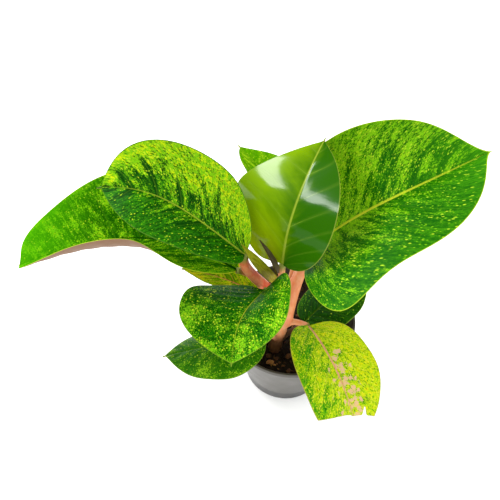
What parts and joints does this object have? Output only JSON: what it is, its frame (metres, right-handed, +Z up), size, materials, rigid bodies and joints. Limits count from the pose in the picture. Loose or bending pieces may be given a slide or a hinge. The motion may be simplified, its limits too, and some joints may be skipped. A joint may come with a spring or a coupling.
{
  "type": "potted plant",
  "caption": "Potted aglaonema: broad speckled apple green leaves on pink stalks over a short cane, in a tapered round nursery pot filled with bark mix, standing on its flat base.",
  "frame": {"origin": "centre of the pot's flat base, on the surface that it stands on", "axes": "+Z up through the middle of the pot; the picture is taken from the -Y side, and the broadest leaf points to +X"},
  "size_m": [0.3732, 0.2072, 0.2922],
  "materials": {
    "pot_plastic": "black plastic with a soft sheen",
    "potting_mix": "coarse dark brown bark mix",
    "stalk_pink": "smooth salmon pink",
    "leaf_speckled": "satin, deep green with apple green and yellow speckles",
    "leaf_young": "glossy yellow green",
    "leaf_dark": "satin, dark green with small speckles",
    "leaf_pale": "satin, yellow green with pink and cream patches",
    "sheath_olive": "dry olive brown"
  },
  "bodies": {
    "root": {"pot": "pot_plastic", "soil": "potting_mix", "stems": "stalk_pink", "leaf_right": "leaf_speckled", "leaf_new": "leaf_young", "leaf_left_upper": "leaf_speckled", "leaf_left_outer": "leaf_speckled", "leaf_back": "leaf_speckled", "leaf_front": "leaf_speckled", "leaf_front_low": "leaf_dark", "leaf_pale": "leaf_pale", "leaf_right_low": "leaf_dark", "leaf_left_low": "leaf_young", "stalk_sheath": "sheath_olive", "bud_sheath": "sheath_olive"}
  },
  "joints": []
}
